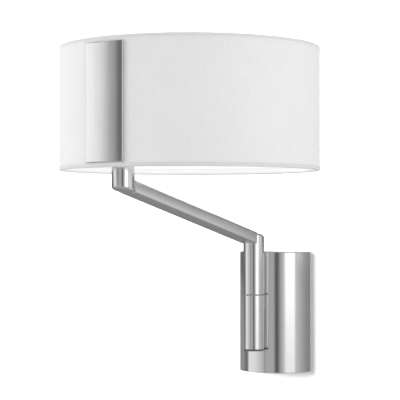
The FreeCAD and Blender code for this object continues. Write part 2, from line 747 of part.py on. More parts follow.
def backing_strip():
    outer = SHADE_R - FABRIC_T - LINER_T - 3 * SKIN_GAP
    strip = sector(outer, outer - STRIP_T, SHADE_BOTTOM + 6, SHADE_TOP - 6, PLATE_ARC, SHADE_Y)
    for z in STUD_ZS:
        strip = strip.cut(rod(STUD_R + 0.15, SHADE_R + 5, Vector(0, SHADE_Y, z), TO_ROOM))
    return strip


SPACER_R = 6.0


def shade_spacers():
    """Tubes between the stub and the backing strip, cut to both curves."""
    strip_inner = SHADE_R - FABRIC_T - LINER_T - 3 * SKIN_GAP - STRIP_T
    spacers = []
    for z in STUD_ZS:
        start = Vector(0, STUB_Y, z)
        spacer = tube(SPACER_R, STUD_R + 0.15, SHADE_R - SHADE_BACK, start, TO_ROOM)
        spacer = spacer.cut(rod(TUBE_R + SKIN_GAP, 40, Vector(0, STUB_Y, z - 20)))
        spacer = spacer.common(rod(strip_inner - SKIN_GAP, 40, Vector(0, SHADE_Y, z - 20)))
        spacers.append(spacer)
    return spacers


def plate_nuts():
    nuts = []
    for z in STUD_ZS:
        start = Vector(0, STUB_Y + TUBE_R + 0.05, z)
        nuts.append(nut(7.0, STUD_R, 3.2, start, TO_WALL))
    return nuts


def arm_cable():
    aside = 4.05
    middle = BAR_T / 2 / math.cos(SLOPE)
    low = bar_under(0) + middle
    high = bar_under(BAR_REACH) + middle
    points = [post_point(CABLE_MEET_Z + SKIN_GAP), post_point(50), Vector(aside, -POST_OUT, 63),
              Vector(aside, -POST_OUT, low), Vector(aside, STUB_Y, high),
              Vector(aside, STUB_Y, 174), Vector(0, STUB_Y, 184),
              holder_point(0), holder_point(INSERT_START - 0.5)]
    return cable(points, [14, 4, 6, CABLE_BEND, 9, 5, 6], CABLE_R)


# ---- export -------------------------------------------------------------------
def fixed_nodes():
    return {
        "wall_plate": wall_plate(),
        "wall_cover": wall_cover(),
        "cover_screws": cover_screws(),
        "cover_backing": cover_backing(),
        "saddle": saddle(),
        "saddle_screws": saddle_screws(),
        "lower_post": lower_post(),
        "post_core": post_core(),
        "lower_cap": lower_cap(),
        "swivel_plug": swivel_plug(),
        "swivel_nipple": swivel_nipple(),
        "joint_washer": joint_washer(),
        "spring_washer": spring_washer(),
        "swivel_nuts": swivel_nuts(),
        "stop_pin": stop_pin(),
        "cable_grommet": cable_grommet(),
        "terminal_block": terminal_block(),
        "terminal_clamps": terminal_clamps(),
        "terminal_screws": terminal_screws(),
        "terminal_block_screw": terminal_block_screw(),
        "earth_terminal": earth_terminal(),
        "supply_cable": supply_cable(),
    }


def arm_nodes():
    shell = arm_shell()
    return {
        "upper_post": upper_post(shell),
        "arm_bar": arm_bar(shell),
        "shade_stub": shade_stub(shell),
        "swivel_bush": swivel_bush(),
        "bush_screw": bush_screw(),
        "stub_plug": stub_plug(),
        "holder_nipple": holder_nipple(),
        "holder_nut": holder_nut(),
        "holder_cap": holder_cap(),
        "holder_barrel": holder_barrel(),
        "holder_insert": holder_insert(),
        "holder_contacts": holder_contacts(),
        "bulb_cap": bulb_cap(),
        "bulb_glass": bulb_glass(),
        "shade_fabric": shade_fabric(),
        "shade_liner": shade_liner(),
        "shade_top_ring": shade_ring(SHADE_TOP - 0.6 - RING_WIRE_R),
        "shade_bottom_ring": shade_ring(SHADE_BOTTOM + 0.6 + RING_WIRE_R),
        "shade_plate": shade_plate(),
        "plate_studs": plate_studs(),
        "backing_strip": backing_strip(),
        "shade_spacers": shade_spacers(),
        "plate_nuts": plate_nuts(),
        "arm_cable": arm_cable(),
    }


def write_node(name, shape, turn):
    pieces = shape if isinstance(shape, list) else [shape]
    solids = []
    for piece in pieces:
        solids += piece.Solids
    if turn:
        for solid in solids:
            solid.rotate(post_point(0), UP, turn)
    node = solids[0] if len(solids) == 1 else Part.makeCompound(solids)
    state = "ok" if node.isValid() else "NOT VALID"
    print("%-22s solids %d  volume %9.1f  %s" % (name, len(solids), node.Volume, state))
    node.exportStep("parts/%s.step" % name)


def main():
    os.makedirs("parts", exist_ok=True)
    for name, shape in fixed_nodes().items():
        write_node(name, shape, 0)
    for name, shape in arm_nodes().items():
        write_node(name, shape, -REST_SWING)


main()
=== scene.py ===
import json
import math

import bpy
from mathutils import Matrix, Vector


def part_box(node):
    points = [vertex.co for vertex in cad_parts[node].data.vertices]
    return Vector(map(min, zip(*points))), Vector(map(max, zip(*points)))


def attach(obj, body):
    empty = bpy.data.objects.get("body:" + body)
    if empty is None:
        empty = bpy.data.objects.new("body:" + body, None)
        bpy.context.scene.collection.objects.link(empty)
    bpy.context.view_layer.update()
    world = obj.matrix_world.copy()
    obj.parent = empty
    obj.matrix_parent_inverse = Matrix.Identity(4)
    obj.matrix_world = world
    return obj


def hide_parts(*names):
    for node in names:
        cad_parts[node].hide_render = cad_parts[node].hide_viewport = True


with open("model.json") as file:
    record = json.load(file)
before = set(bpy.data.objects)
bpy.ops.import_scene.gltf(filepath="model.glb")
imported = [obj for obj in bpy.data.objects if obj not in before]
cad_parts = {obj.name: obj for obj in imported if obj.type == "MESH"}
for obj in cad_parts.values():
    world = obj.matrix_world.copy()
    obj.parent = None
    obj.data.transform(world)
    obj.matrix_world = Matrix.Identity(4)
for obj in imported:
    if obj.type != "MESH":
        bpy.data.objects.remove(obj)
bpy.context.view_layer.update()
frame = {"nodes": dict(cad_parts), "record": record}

SWING_ARM = "swing_arm"

# ---- places worked out from the frame ------------------------------------------
shade_low, shade_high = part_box("shade_fabric")
SHADE_CENTRE = (shade_low + shade_high) / 2
SHADE_R = (shade_high.x - shade_low.x) / 2
ring_low, ring_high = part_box("shade_bottom_ring")
RING_WIRE_R = (ring_high.z - ring_low.z) / 2
RING_R = (ring_high.x - ring_low.x) / 2 - RING_WIRE_R
RING_RISE = (ring_low.z + ring_high.z) / 2 - shade_low.z
stub_low, stub_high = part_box("shade_stub")
STUB_CENTRE = (stub_low + stub_high) / 2
post_low, post_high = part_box("upper_post")
POST_CENTRE = (post_low + post_high) / 2
cover_low, cover_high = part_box("wall_cover")


# ---- node helpers --------------------------------------------------------------
# Where a mix node keeps the sockets of its colour mode.
MIX_FACTOR = 0
MIX_FIRST = 6
MIX_SECOND = 7
MIX_RESULT = 2
# The range that a noise mostly stays in.
NOISE_LOW, NOISE_HIGH = 0.3, 0.7


class Nodes:
    """A material's node tree, with short calls for the nodes used here."""

    def __init__(self, name):
        self.material = bpy.data.materials.new(name)
        self.material.use_nodes = True
        self.tree = self.material.node_tree
        self.shader = self.tree.nodes["Principled BSDF"]

    def add(self, kind, **settings):
        node = self.tree.nodes.new("ShaderNode" + kind)
        for key, value in settings.items():
            setattr(node, key, value)
        return node

    def link(self, source, target):
        self.tree.links.new(source, target)

    def set(self, **values):
        for key, value in values.items():
            self.shader.inputs[key.replace("_", " ")].default_value = value

    def math(self, operation, first, second=None):
        node = self.add("Math", operation=operation)
        for socket, value in zip(node.inputs, (first, second)):
            if value is None:
                continue
            if isinstance(value, (int, float)):
                socket.default_value = value
            else:
                self.link(value, socket)
        return node.outputs[0]

    def object_coordinates(self, stretch=(1, 1, 1), turn=(0, 0, 0)):
        place = self.add("TexCoord")
        mapping = self.add("Mapping")
        mapping.inputs["Rotation"].default_value = turn
        mapping.inputs["Scale"].default_value = stretch
        self.link(place.outputs["Object"], mapping.inputs["Vector"])
        return mapping.outputs["Vector"]

    def noise(self, vector, scale, detail=2.0, roughness=0.5):
        node = self.add("TexNoise")
        self.link(vector, node.inputs["Vector"])
        node.inputs["Scale"].default_value = scale
        node.inputs["Detail"].default_value = detail
        node.inputs["Roughness"].default_value = roughness
        return node.outputs["Fac"]

    def spread(self, value, low, high):
        """Maps the middle of a noise's range onto low to high."""
        node = self.add("MapRange")
        self.link(value, node.inputs["Value"])
        node.inputs["From Min"].default_value = NOISE_LOW
        node.inputs["From Max"].default_value = NOISE_HIGH
        node.inputs["To Min"].default_value = low
        node.inputs["To Max"].default_value = high
        return node.outputs["Result"]

    def fade(self, value, start, end):
        """0 to 1, smoothly, as the value goes from start to end."""
        node = self.add("MapRange", interpolation_type="SMOOTHSTEP")
        self.link(value, node.inputs["Value"])
        node.inputs["From Min"].default_value = start
        node.inputs["From Max"].default_value = end
        return node.outputs["Result"]

    def tint(self, value, dark, light):
        """A colour between dark and light, linked to the base colour."""
        self.link(self.blend(value, dark, light), self.shader.inputs["Base Color"])

    def blend(self, factor, first, second):
        """A mix of two colours; each is a grey level, a red-green-blue triple or an output."""
        node = self.add("Mix", data_type="RGBA")
        self.link(factor, node.inputs[MIX_FACTOR])
        for place, value in ((MIX_FIRST, first), (MIX_SECOND, second)):
            socket = node.inputs[place]
            if isinstance(value, float):
                socket.default_value = (value, value, value, 1)
            elif isinstance(value, tuple):
                socket.default_value = (*value, 1)
            else:
                self.link(value, socket)
        return node.outputs[MIX_RESULT]

    def bump(self, height, distance, strength=1.0):
        node = self.add("Bump")
        node.inputs["Strength"].default_value = strength
        node.inputs["Distance"].default_value = distance
        self.link(height, node.inputs["Height"])
        self.link(node.outputs["Normal"], self.shader.inputs["Normal"])


def scaled(colour, factor):
    return tuple(min(1.0, c * factor) for c in colour)


# ---- materials -----------------------------------------------------------------
NICKEL = (0.625, 0.627, 0.632)
ZINC = (0.56, 0.57, 0.58)
BRASS = (0.72, 0.53, 0.25)
ALUMINIUM = (0.74, 0.74, 0.74)
BRUSH_STRETCH = 0.012     # how little the brush lines change along their length
BRUSH_SCALE = 2600
STREAK_SCALE = 620
HANDLING_SCALE = 28
BRUSH_DEPTH = 0.000012
SCRATCH_SCALE = 1500
DULLING_SCALE = 120
SCRATCH_DEPTH = 0.00002
SATIN = 0.15              # roughness of the lamp's nickel
SATIN_BAR = 0.16
SATIN_PLATE = 0.09


def brushed_metal(name, colour, roughness, turn=(0, 0, 0), grain=0.04):
    """Metal with fine brush lines along Z, turned by turn, and faint cloudy handling marks."""
    m = Nodes(name)
    m.set(Metallic=1.0)
    along = m.object_coordinates((1, 1, BRUSH_STRETCH), turn)
    lines = m.noise(along, BRUSH_SCALE, 3.0, 0.65)
    streaks = m.noise(along, STREAK_SCALE, 2.0, 0.6)
    clouds = m.noise(m.object_coordinates(), HANDLING_SCALE, 3.0)
    both = m.math("ADD", m.math("MULTIPLY", lines, 0.4), m.math("MULTIPLY", streaks, 0.4))
    both = m.math("ADD", both, m.math("MULTIPLY", clouds, 0.2))
    m.tint(m.spread(both, 0.0, 1.0), scaled(colour, 0.92), scaled(colour, 1.06))
    m.link(m.spread(both, roughness - grain, roughness + grain), m.shader.inputs["Roughness"])
    m.bump(lines, BRUSH_DEPTH, 0.35)
    return m


def turned_metal(name, colour, roughness):
    """Cut or plated hardware: short scratches in all directions and slight dulling."""
    m = Nodes(name)
    m.set(Metallic=1.0)
    scratches = m.noise(m.object_coordinates((1, 1, 0.2)), SCRATCH_SCALE, 4.0, 0.7)
    dulling = m.noise(m.object_coordinates(), DULLING_SCALE, 3.0)
    both = m.math("ADD", m.math("MULTIPLY", scratches, 0.5), m.math("MULTIPLY", dulling, 0.5))
    m.tint(m.spread(both, 0.0, 1.0), scaled(colour, 0.85), scaled(colour, 1.08))
    m.link(m.spread(both, roughness - 0.08, roughness + 0.1), m.shader.inputs["Roughness"])
    m.bump(scratches, SCRATCH_DEPTH, 0.5)
    return m.material


SKIN_SCALE = 1800
SKIN_DEPTH = 0.00003
FLOW_SCALE = 60


def moulded_plastic(name, colour, roughness, texture=SKIN_DEPTH):
    """Moulded or fired parts: a fine skin texture and faint flow clouds."""
    m = Nodes(name)
    m.set(IOR=1.49)
    skin = m.noise(m.object_coordinates(), SKIN_SCALE, 3.0, 0.6)
    flow = m.noise(m.object_coordinates((1, 1, 0.4)), FLOW_SCALE, 2.0)
    m.tint(m.spread(flow, 0.0, 1.0), scaled(colour, 0.97), scaled(colour, 1.02))
    m.link(m.spread(skin, roughness - 0.05, roughness + 0.05), m.shader.inputs["Roughness"])
    m.bump(skin, texture, 0.4)
    return m.material


VEIL_SCALE = 45
PEEL_SCALE = 260
PEEL_DEPTH = 0.00003


def opal_glass():
    """White glass, glossy outside, with a faintly uneven inside coating."""
    m = Nodes("opal_glass")
    m.set(IOR=1.5, Coat_Weight=0.6, Coat_Roughness=0.04)
    veil = m.noise(m.object_coordinates(), VEIL_SCALE, 2.0)
    m.tint(m.spread(veil, 0.0, 1.0), (0.90, 0.90, 0.88), (0.95, 0.95, 0.94))
    m.link(m.spread(veil, 0.22, 0.3), m.shader.inputs["Roughness"])
    return m.material


def liner_film():
    """White lampshade film: smooth, slightly shiny, with a faint orange-peel."""
    m = Nodes("liner_film")
    m.set(IOR=1.45)
    peel = m.noise(m.object_coordinates(), PEEL_SCALE, 2.0)
    m.tint(m.spread(peel, 0.0, 1.0), (0.93, 0.93, 0.925), (0.96, 0.96, 0.955))
    m.link(m.spread(peel, 0.42, 0.5), m.shader.inputs["Roughness"])
    m.bump(peel, PEEL_DEPTH, 0.3)
    return m.material


THREAD = 0.00042          # pitch of the plain weave
SLUB_SCALE = 1150
CLOUD_SCALE = 22
CLOTH_DARK, CLOTH_LIGHT = 0.83, 0.93
# Painted shade: the grey of the cloth along both hems.
HEM_SHADE_GREY = 0.765
WEAVE_DEPTH = 0.00006


def shade_weave():
    """Fine white plain weave laid out in the cloth's own metres, with slubs both ways.

    Painted shade: the cloth is greyer along both hems than between them.
    """
    m = Nodes("shade_weave")
    m.set(IOR=1.45, Sheen_Weight=0.25, Sheen_Roughness=0.5, Specular_IOR_Level=0.25)
    place = m.add("UVMap", uv_map="cloth")
    apart = m.add("SeparateXYZ")
    m.link(place.outputs["UV"], apart.inputs["Vector"])
    turns = math.pi / THREAD
    across = m.math("SINE", m.math("MULTIPLY", apart.outputs["X"], turns))
    along = m.math("SINE", m.math("MULTIPLY", apart.outputs["Y"], turns))
    weave = m.math("MULTIPLY", across, along)

    def slubs(stretch, scale):
        mapping = m.add("Mapping")
        mapping.inputs["Scale"].default_value = stretch
        m.link(place.outputs["UV"], mapping.inputs["Vector"])
        return m.noise(mapping.outputs["Vector"], scale, 3.0, 0.6)

    weft = slubs((0.05, 1, 1), SLUB_SCALE)
    warp = slubs((1, 0.04, 1), SLUB_SCALE)
    threads = m.math("MULTIPLY", m.math("ADD", weft, warp), 0.5)
    cloudy = slubs((1, 1, 1), CLOUD_SCALE)
    shade = m.math("ADD", m.math("MULTIPLY", threads, 0.8), m.math("MULTIPLY", cloudy, 0.2))
    cloth = m.blend(m.spread(shade, 0.0, 1.0), CLOTH_DARK, CLOTH_LIGHT)
    lengths = run_lengths(cloth_profile())
    straight = lengths[len(rim_profile()) - len(HEM_EDGE) - 1]
    low = straight + HEM_SHADE_LOW
    high = lengths[-1] - straight - HEM_SHADE_TOP
    half = (high - low) / 2
    from_middle = m.math("ABSOLUTE", m.math("SUBTRACT", apart.outputs["Y"], (low + high) / 2))
    # Painted shade along both hems, fading into the plain cloth.
    m.tint(m.fade(from_middle, half, half + HEM_SHADE_FADE), cloth, HEM_SHADE_GREY)
    m.link(m.spread(threads, 0.78, 0.92), m.shader.inputs["Roughness"])
    height = m.math("ADD", m.math("MULTIPLY", weave, 0.35), threads)
    m.bump(height, WEAVE_DEPTH, 0.5)
    return m.material


BAR_THICK = 0.011
BAR_CROWN = 0.00014       # how far the drawn bar's sides bulge at their middle


def bar_material():
    """Brushed along the bar, with the slight crown of a drawn section up its sides."""
    run = STUB_CENTRE - POST_CENTRE
    reach = math.hypot(run.x, run.y)
    low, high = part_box("arm_bar")
    slope = math.atan2(high.z - low.z - BAR_THICK, reach)
    along = Vector((run.x, run.y, reach * math.tan(slope))).normalized()
    across = Vector((0, 0, 1)).cross(along).normalized()
    turn = Matrix((across, along.cross(across), along)).to_euler()
    m = brushed_metal("satin_nickel_bar", NICKEL, SATIN_BAR, turn)
    place = m.add("Mapping")
    middle = (low + high) / 2
    m.link(m.add("TexCoord").outputs["Object"], place.inputs["Vector"])
    place.inputs["Rotation"].default_value = turn
    place.inputs["Location"].default_value = -(turn.to_matrix() @ middle)
    apart = m.add("SeparateXYZ")
    m.link(place.outputs["Vector"], apart.inputs["Vector"])
    square = m.math("POWER", m.math("ABSOLUTE", apart.outputs["Y"]), 2.0)
    bulge = m.math("MULTIPLY", square, -BAR_CROWN / (BAR_THICK / 2) ** 2)
    crown = m.add("Bump")
    crown.inputs["Distance"].default_value = 1.0
    m.link(bulge, crown.inputs["Height"])
    grain = m.shader.inputs["Normal"].links[0].from_node
    m.link(crown.outputs["Normal"], grain.inputs["Normal"])
    return m.material


def make_materials():
    return {
        "satin_nickel": brushed_metal("satin_nickel", NICKEL, SATIN).material,
        "zinc_steel": turned_metal("zinc_steel", ZINC, 0.34),
        "brass_part": turned_metal("brass_part", BRASS, 0.3),
        "nylon": moulded_plastic("nylon", (0.32, 0.32, 0.32), 0.45),
        # On the lower post's end cap this black is partly the cap's own colour and partly painted shade for
        # the dark line under the post.
        "black_rubber": moulded_plastic("black_rubber", (0.10, 0.10, 0.10), 0.6, 0.00008),
        "white_plastic": moulded_plastic("white_plastic", (0.82, 0.82, 0.80), 0.36),
        "cable_sheath": moulded_plastic("cable_sheath", (0.76, 0.76, 0.74), 0.5),
        "ceramic": moulded_plastic("ceramic", (0.86, 0.85, 0.82), 0.55, 0.0001),
        "bulb_aluminium": turned_metal("bulb_aluminium", ALUMINIUM, 0.28),
        "opal_glass": opal_glass(),
        "shade_cloth": shade_weave(),
        "shade_liner": liner_film(),
        "ring_wire": moulded_plastic("ring_wire", (0.88, 0.88, 0.88), 0.4),
    }


def dress_cad_nodes(materials):
    for part in frame["record"]["subparts"]:
        node = frame["nodes"][part["node"]]
        for holder in node.material_slots:
            holder.material = materials[part["material_slot"]]
    frame["nodes"]["arm_bar"].material_slots[0].material = bar_material()
    plate = brushed_metal("satin_nickel_plate", NICKEL, SATIN_PLATE, grain=0.02)
    frame["nodes"]["shade_plate"].material_slots[0].material = plate.material


# ---- the cloth shade -----------------------------------------------------------
CLOTH_T = 0.0004
HEM_H = 0.0042            # height of the doubled cloth at each rim
HEM_PROUD = 0.0003
HEM_SHADE_LOW = 0.0026     # painted shade band, up from the lower rim's curve
HEM_SHADE_TOP = 0.0018     # and down from the upper rim's
HEM_SHADE_FADE = 0.0005
ROLL_GAP = 0.0003         # cloth clear of the ring wire it is rolled over
TUCK = 0.0045             # the roll's end, glued to the film above the ring
TUCK_IN = [(0.0016, 1.0), (0.0022, 0.8)]      # the tucked end: distance in, share of TUCK
ROLL_START = 150          # degrees at which the cloth meets the ring wire
ROLL_TURN = 15
ROLL_STEPS = 9
RIM_CORNER = 0.0013       # radius of the turn from under the ring to the outside
CORNER_TURN = 22.5
CORNER_STEPS = 5
HEM_EDGE = [(-0.0004, 0.0), (-0.0001, 0.4), (0.0002, 1.0)]    # height from HEM_H, share of HEM_PROUD lost
SLACK_WAVES = [(5, 20, 0.00006), (13, 55, 0.00004)]           # times round, turn per metre up, depth
AROUND = 288
BODY_STEPS = 28
SEAM_HEADING = 110        # degrees, towards the wall
SEAM_ARC = 0.008          # width of the overlap
SEAM_PROUD = 0.00035
SEAM_RAMP = 0.0006
SEAM_FULL = 0.84          # share of the overlap's half width that is at full height


def rim_profile():
    """(radius, height above the rim) from the tuck inside, over the ring, to the outside."""
    points = []
    roll_r = RING_WIRE_R + ROLL_GAP
    for inward, share in TUCK_IN:
        points.append((SHADE_R - inward, RING_RISE + TUCK * share))
    for i in range(ROLL_STEPS):
        turn = math.radians(ROLL_START + i * ROLL_TURN)
        points.append((RING_R + roll_r * math.cos(turn), RING_RISE + roll_r * math.sin(turn)))
    outer = SHADE_R + HEM_PROUD - CLOTH_T
    centre = RING_RISE - roll_r + RIM_CORNER
    for i in range(CORNER_STEPS):
        turn = math.radians(-90 + i * CORNER_TURN)
        r = outer - RIM_CORNER + RIM_CORNER * math.cos(turn)
        points.append((r, centre + RIM_CORNER * math.sin(turn)))
    for up, lost in HEM_EDGE:
        points.append((outer - HEM_PROUD * lost, HEM_H + up))
    return points


def cloth_profile():
    """(radius, height above the lower rim) from the tuck at the bottom to the tuck at the top."""
    height = shade_high.z - shade_low.z
    bottom = rim_profile()
    top = [(r, height - h) for r, h in reversed(rim_profile())]
    first, last = bottom[-1][1], top[0][1]
    middle = []
    for i in range(1, BODY_STEPS):
        middle.append((SHADE_R - CLOTH_T, first + (last - first) * i / BODY_STEPS))
    return bottom + middle + top


def run_lengths(profile):
    """Distance along the cloth from its first edge to each point of the profile."""
    lengths = [0.0]
    for (r0, h0), (r1, h1) in zip(profile, profile[1:]):
        lengths.append(lengths[-1] + math.hypot(r1 - r0, h1 - h0))
    return lengths


def seam_lift(distance):
    """How far the overlap stands out at a distance along the rim from its middle."""
    edge = SEAM_ARC / 2
    if abs(distance) >= edge:
        return 0.0
    return SEAM_PROUD * min(1.0, (edge - abs(distance)) / SEAM_RAMP)


def slack(angle, height):
    """Slight waves in the stretched cloth, always inward."""
    return sum(depth * (math.sin(times * angle + turn * height) - 1) for times, turn, depth in SLACK_WAVES)


def make_cloth(material):
    """The shade's cloth as one sheet, its flat metres kept as UVs."""
    profile = cloth_profile()
    lengths = run_lengths(profile)
    seam_half = SEAM_ARC / 2 / SHADE_R
    angles = [2 * math.pi * i / AROUND for i in range(AROUND)]
    for extra in (seam_half, seam_half * SEAM_FULL):
        angles += [extra, 2 * math.pi - extra]
    angles.sort()
    points, faces, uvs = [], [], []
    for angle in angles:
        heading = angle + math.radians(SEAM_HEADING)
        arc = (angle if angle < math.pi else angle - 2 * math.pi) * SHADE_R
        for (radius, height), length in zip(profile, lengths):
            outside = radius > SHADE_R - 2 * CLOTH_T
            r = radius + (slack(angle, height) + seam_lift(arc) if outside else 0.0)
            points.append((SHADE_CENTRE.x + r * math.cos(heading),
                           SHADE_CENTRE.y + r * math.sin(heading),
                           shade_low.z + height))
            uvs.append((angle * SHADE_R, length))
    rows, count = len(profile), len(angles)
    for i in range(count):
        j = (i + 1) % count
        for k in range(rows - 1):
            faces.append((i * rows + k, j * rows + k, j * rows + k + 1, i * rows + k + 1))
    mesh = bpy.data.meshes.new("shade_cloth")
    mesh.from_pydata(points, [], faces)
    layer = mesh.uv_layers.new(name="cloth")
    for polygon in mesh.polygons:
        # The strip that closes the ring ends at the full length, not at zero.
        wraps = max(polygon.vertices) - min(polygon.vertices) > rows * 2
        for corner in polygon.loop_indices:
            vertex = mesh.loops[corner].vertex_index
            u, v = uvs[vertex]
            if wraps and vertex < rows:
                u += 2 * math.pi * SHADE_R
            layer.data[corner].uv = (u, v)
        polygon.use_smooth = True
    mesh.materials.append(material)
    cloth = bpy.data.objects.new("shade_cloth", mesh)
    bpy.context.scene.collection.objects.link(cloth)
    thick = cloth.modifiers.new("thickness", "SOLIDIFY")
    thick.thickness = CLOTH_T
    thick.offset = 0.0
    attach(cloth, SWING_ARM)
    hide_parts("shade_fabric")
    return cloth


# ---- stage, light and camera ---------------------------------------------------
CAMERA_AT = Vector((0.7254, -1.3898, 0.0912))
CAMERA_AZIMUTH = 30.5
CAMERA_PITCH = 0.88
LENS_MM = 135.0
SENSOR_MM = 36
CLIP = (0.05, 20)

WALL_SIDE = 5.0
WALL_TOP = 2.4
WALL_LAP = 0.0015         # how far the wall reaches in behind the cover's edges
WALL_SEEN = 0.8
WALL_BOUNCE = 0.38        # darker for the light that it throws back onto the cloth
FLOOR_Z = -0.9
FLOOR_GREY = 0.85


def stage_material(name, grey):
    m = Nodes(name)
    m.shader.inputs["Base Color"].default_value = (grey, grey, grey, 1)
    m.set(Roughness=0.9, Specular_IOR_Level=0.1)
    return m


def clear_from_behind(m, paint):
    """Shows the paint on a plane's front only, so a view from behind still sees the lamp."""
    clear = m.add("BsdfTransparent")
    side = m.add("NewGeometry")
    mix = m.add("MixShader")
    m.link(side.outputs["Backfacing"], mix.inputs["Fac"])
    m.link(paint.outputs[0], mix.inputs[1])
    m.link(clear.outputs[0], mix.inputs[2])
    m.link(mix.outputs[0], m.tree.nodes["Material Output"].inputs["Surface"])


# How bright the wall looks in the metal, by distance to the right of the lamp's middle, with painted shade
# close beside the cover.
MIRRORED_STEPS = [(-0.25, 0.46), (0.038, 0.38), (0.048, 0.46), (0.065, 0.6), (0.10, 0.7), (0.25, 0.82)]
LINE_SLOPE = 0.298        # the arm's rise, as mirrored
LINE_FADE = (0.030, 0.085)
# Painted shade in the mirrored wall: factors under and over the rising line, and beside the foot.
UNDER_LINE, OVER_LINE = 1.25, 0.5
FOOT_FADE = (0.035, 0.07)
BESIDE_FOOT = 0.72


def mirrored_wall(m):
    """Painted reflection of the wall: painted shade beside and under the cover, and above a line that rises
    as the arm does.
    """
    apart = m.add("SeparateXYZ")
    m.link(m.add("TexCoord").outputs["Object"], apart.inputs["Vector"])
    start, end = MIRRORED_STEPS[0][0], MIRRORED_STEPS[-1][0]
    along = m.math("DIVIDE", m.math("SUBTRACT", apart.outputs["X"], start), end - start)
    level = ramp(m, [((x - start) / (end - start), value) for x, value in MIRRORED_STEPS], along)
    rise = m.math("SUBTRACT", apart.outputs["Z"], m.math("MULTIPLY", apart.outputs["X"], LINE_SLOPE))
    over = m.fade(rise, *LINE_FADE)
    above = m.fade(apart.outputs["Z"], *FOOT_FADE)
    for factor, first, second in ((over, UNDER_LINE, OVER_LINE), (above, BESIDE_FOOT, 1.0)):
        scale = m.add("VectorMath", operation="MULTIPLY")
        m.link(level, scale.inputs[0])
        m.link(m.blend(factor, first, second), scale.inputs[1])
        level = scale.outputs[0]
    return level


def make_wall():
    """A white wall with a gap behind the lamp's foot, which lets light through from behind."""
    x0, x1 = cover_low.x + WALL_LAP, cover_high.x - WALL_LAP
    z0, z1 = cover_low.z + WALL_LAP, cover_high.z - WALL_LAP
    side, top = WALL_SIDE, WALL_TOP
    outer = [(-side, 0, FLOOR_Z), (side, 0, FLOOR_Z), (side, 0, top), (-side, 0, top)]
    inner = [(x0, 0, z0), (x1, 0, z0), (x1, 0, z1), (x0, 0, z1)]
    faces = []
    for i in range(4):
        j = (i + 1) % 4
        faces.append((i, j, 4 + j, 4 + i))
    mesh = bpy.data.meshes.new("wall")
    mesh.from_pydata(outer + inner, [], faces)
    m = stage_material("wall_paint", WALL_SEEN)
    rays = m.add("LightPath")
    m.tint(rays.outputs["Is Camera Ray"], WALL_BOUNCE, WALL_SEEN)
    # Metal mirrors a painted wall: an emission with painted shade by the cover and above the arm's line.
    mirrored = m.add("Emission")
    mirrored.inputs["Strength"].default_value = BAND_TOP
    m.link(mirrored_wall(m), mirrored.inputs["Color"])
    paint = m.add("MixShader")
    m.link(rays.outputs["Is Glossy Ray"], paint.inputs["Fac"])
    m.link(m.shader.outputs[0], paint.inputs[1])
    m.link(mirrored.outputs[0], paint.inputs[2])
    clear_from_behind(m, paint)
    mesh.materials.append(m.material)
    wall = put_on_stage("wall", mesh)
    wall.visible_glossy = True
    return wall


def make_floor():
    side = WALL_SIDE
    points = [(-side, -side, FLOOR_Z), (side, -side, FLOOR_Z), (side, side, FLOOR_Z), (-side, side, FLOOR_Z)]
    mesh = bpy.data.meshes.new("floor")
    mesh.from_pydata(points, [], [(0, 1, 2, 3)])
    m = stage_material("floor_paint", FLOOR_GREY)
    clear_from_behind(m, m.shader)
    mesh.materials.append(m.material)
    return put_on_stage("floor", mesh)


def put_on_stage(name, mesh):
    """Makes a set piece that metal doesn't mirror unless it is told to."""
    thing = bpy.data.objects.new(name, mesh)
    bpy.context.scene.collection.objects.link(thing)
    thing.visible_glossy = False
    return thing


# Brightness of the studio round the lamp, by degrees to the right of the camera:
# at lamp height, and lower down.
STUDIO_BANDS = [
    (-180, 0.42), (-128, 0.44), (-123, 0.20), (-106, 0.18), (-101, 1.15), (-74, 1.0), (-45, 0.62),
    (-42, 0.36), (-40, 0.36), (-38, 0.56), (-12, 0.56), (-9, 0.13), (1, 0.13), (4, 0.40),
    (20, 0.92), (23, 1.9), (53, 1.9), (56, 0.72), (120, 0.55), (179.9, 0.36),
]
LOW_BANDS = [
    (-180, 0.42), (-128, 0.44), (-123, 0.20), (-106, 0.18), (-101, 1.2), (-74, 1.05), (-45, 0.7),
    (-42, 0.36), (-40, 0.36), (-38, 0.62), (-12, 0.62), (-9, 0.13), (1, 0.13), (4, 0.42),
    (20, 0.8), (23, 1.05), (53, 1.05), (56, 0.8), (120, 0.62), (179.9, 0.36),
]
# The softer light that falls on cloth and wall, the same way.
SOFT_BANDS = [
    (-180, 0.7), (-124, 0.7), (-118, 5.0), (-88, 5.0), (-62, 0.4), (-15, 0.1), (20, 2.1), (38, 4.0),
    (58, 4.0), (63, 0.7), (179.9, 0.7),
]
BAND_TOP = 5.0            # a colour ramp only goes up to 1


def ramp(nodes, bands, position):
    """A grey ramp through (place from 0 to 1, brightness) pairs."""
    node = nodes.add("ValToRGB")
    steps = node.color_ramp.elements
    for i, (at, level) in enumerate(bands):
        step = steps[i] if i < len(steps) else steps.new(at)
        step.position = at
        grey = level / BAND_TOP
        step.color = (grey, grey, grey, 1)
    nodes.link(position, node.inputs["Fac"])
    return node.outputs["Color"]


def round_the_lamp(bands):
    return [((degrees + 180) / 360, level) for degrees, level in bands]


CEILING_GLOSS = 0.44
FLOOR_GLOSS = 0.56
CEILING_SOFT = 0.55
FLOOR_SOFT = 0.5
# Where one part of the studio gives way to the next, as the sine of the height.
LOW_FADE = (-0.02, -0.12)
CEILING_GLOSS_FADE = (0.05, 0.34)
FLOOR_GLOSS_FADE = (-0.16, -0.34)
CEILING_SOFT_FADE = (0.16, 0.5)
FLOOR_SOFT_FADE = (-0.16, -0.5)


class WorldNodes(Nodes):
    """The same short calls for the world's node tree."""

    def __init__(self):
        self.world = bpy.data.worlds.new("studio")
        self.world.use_nodes = True
        self.tree = self.world.node_tree


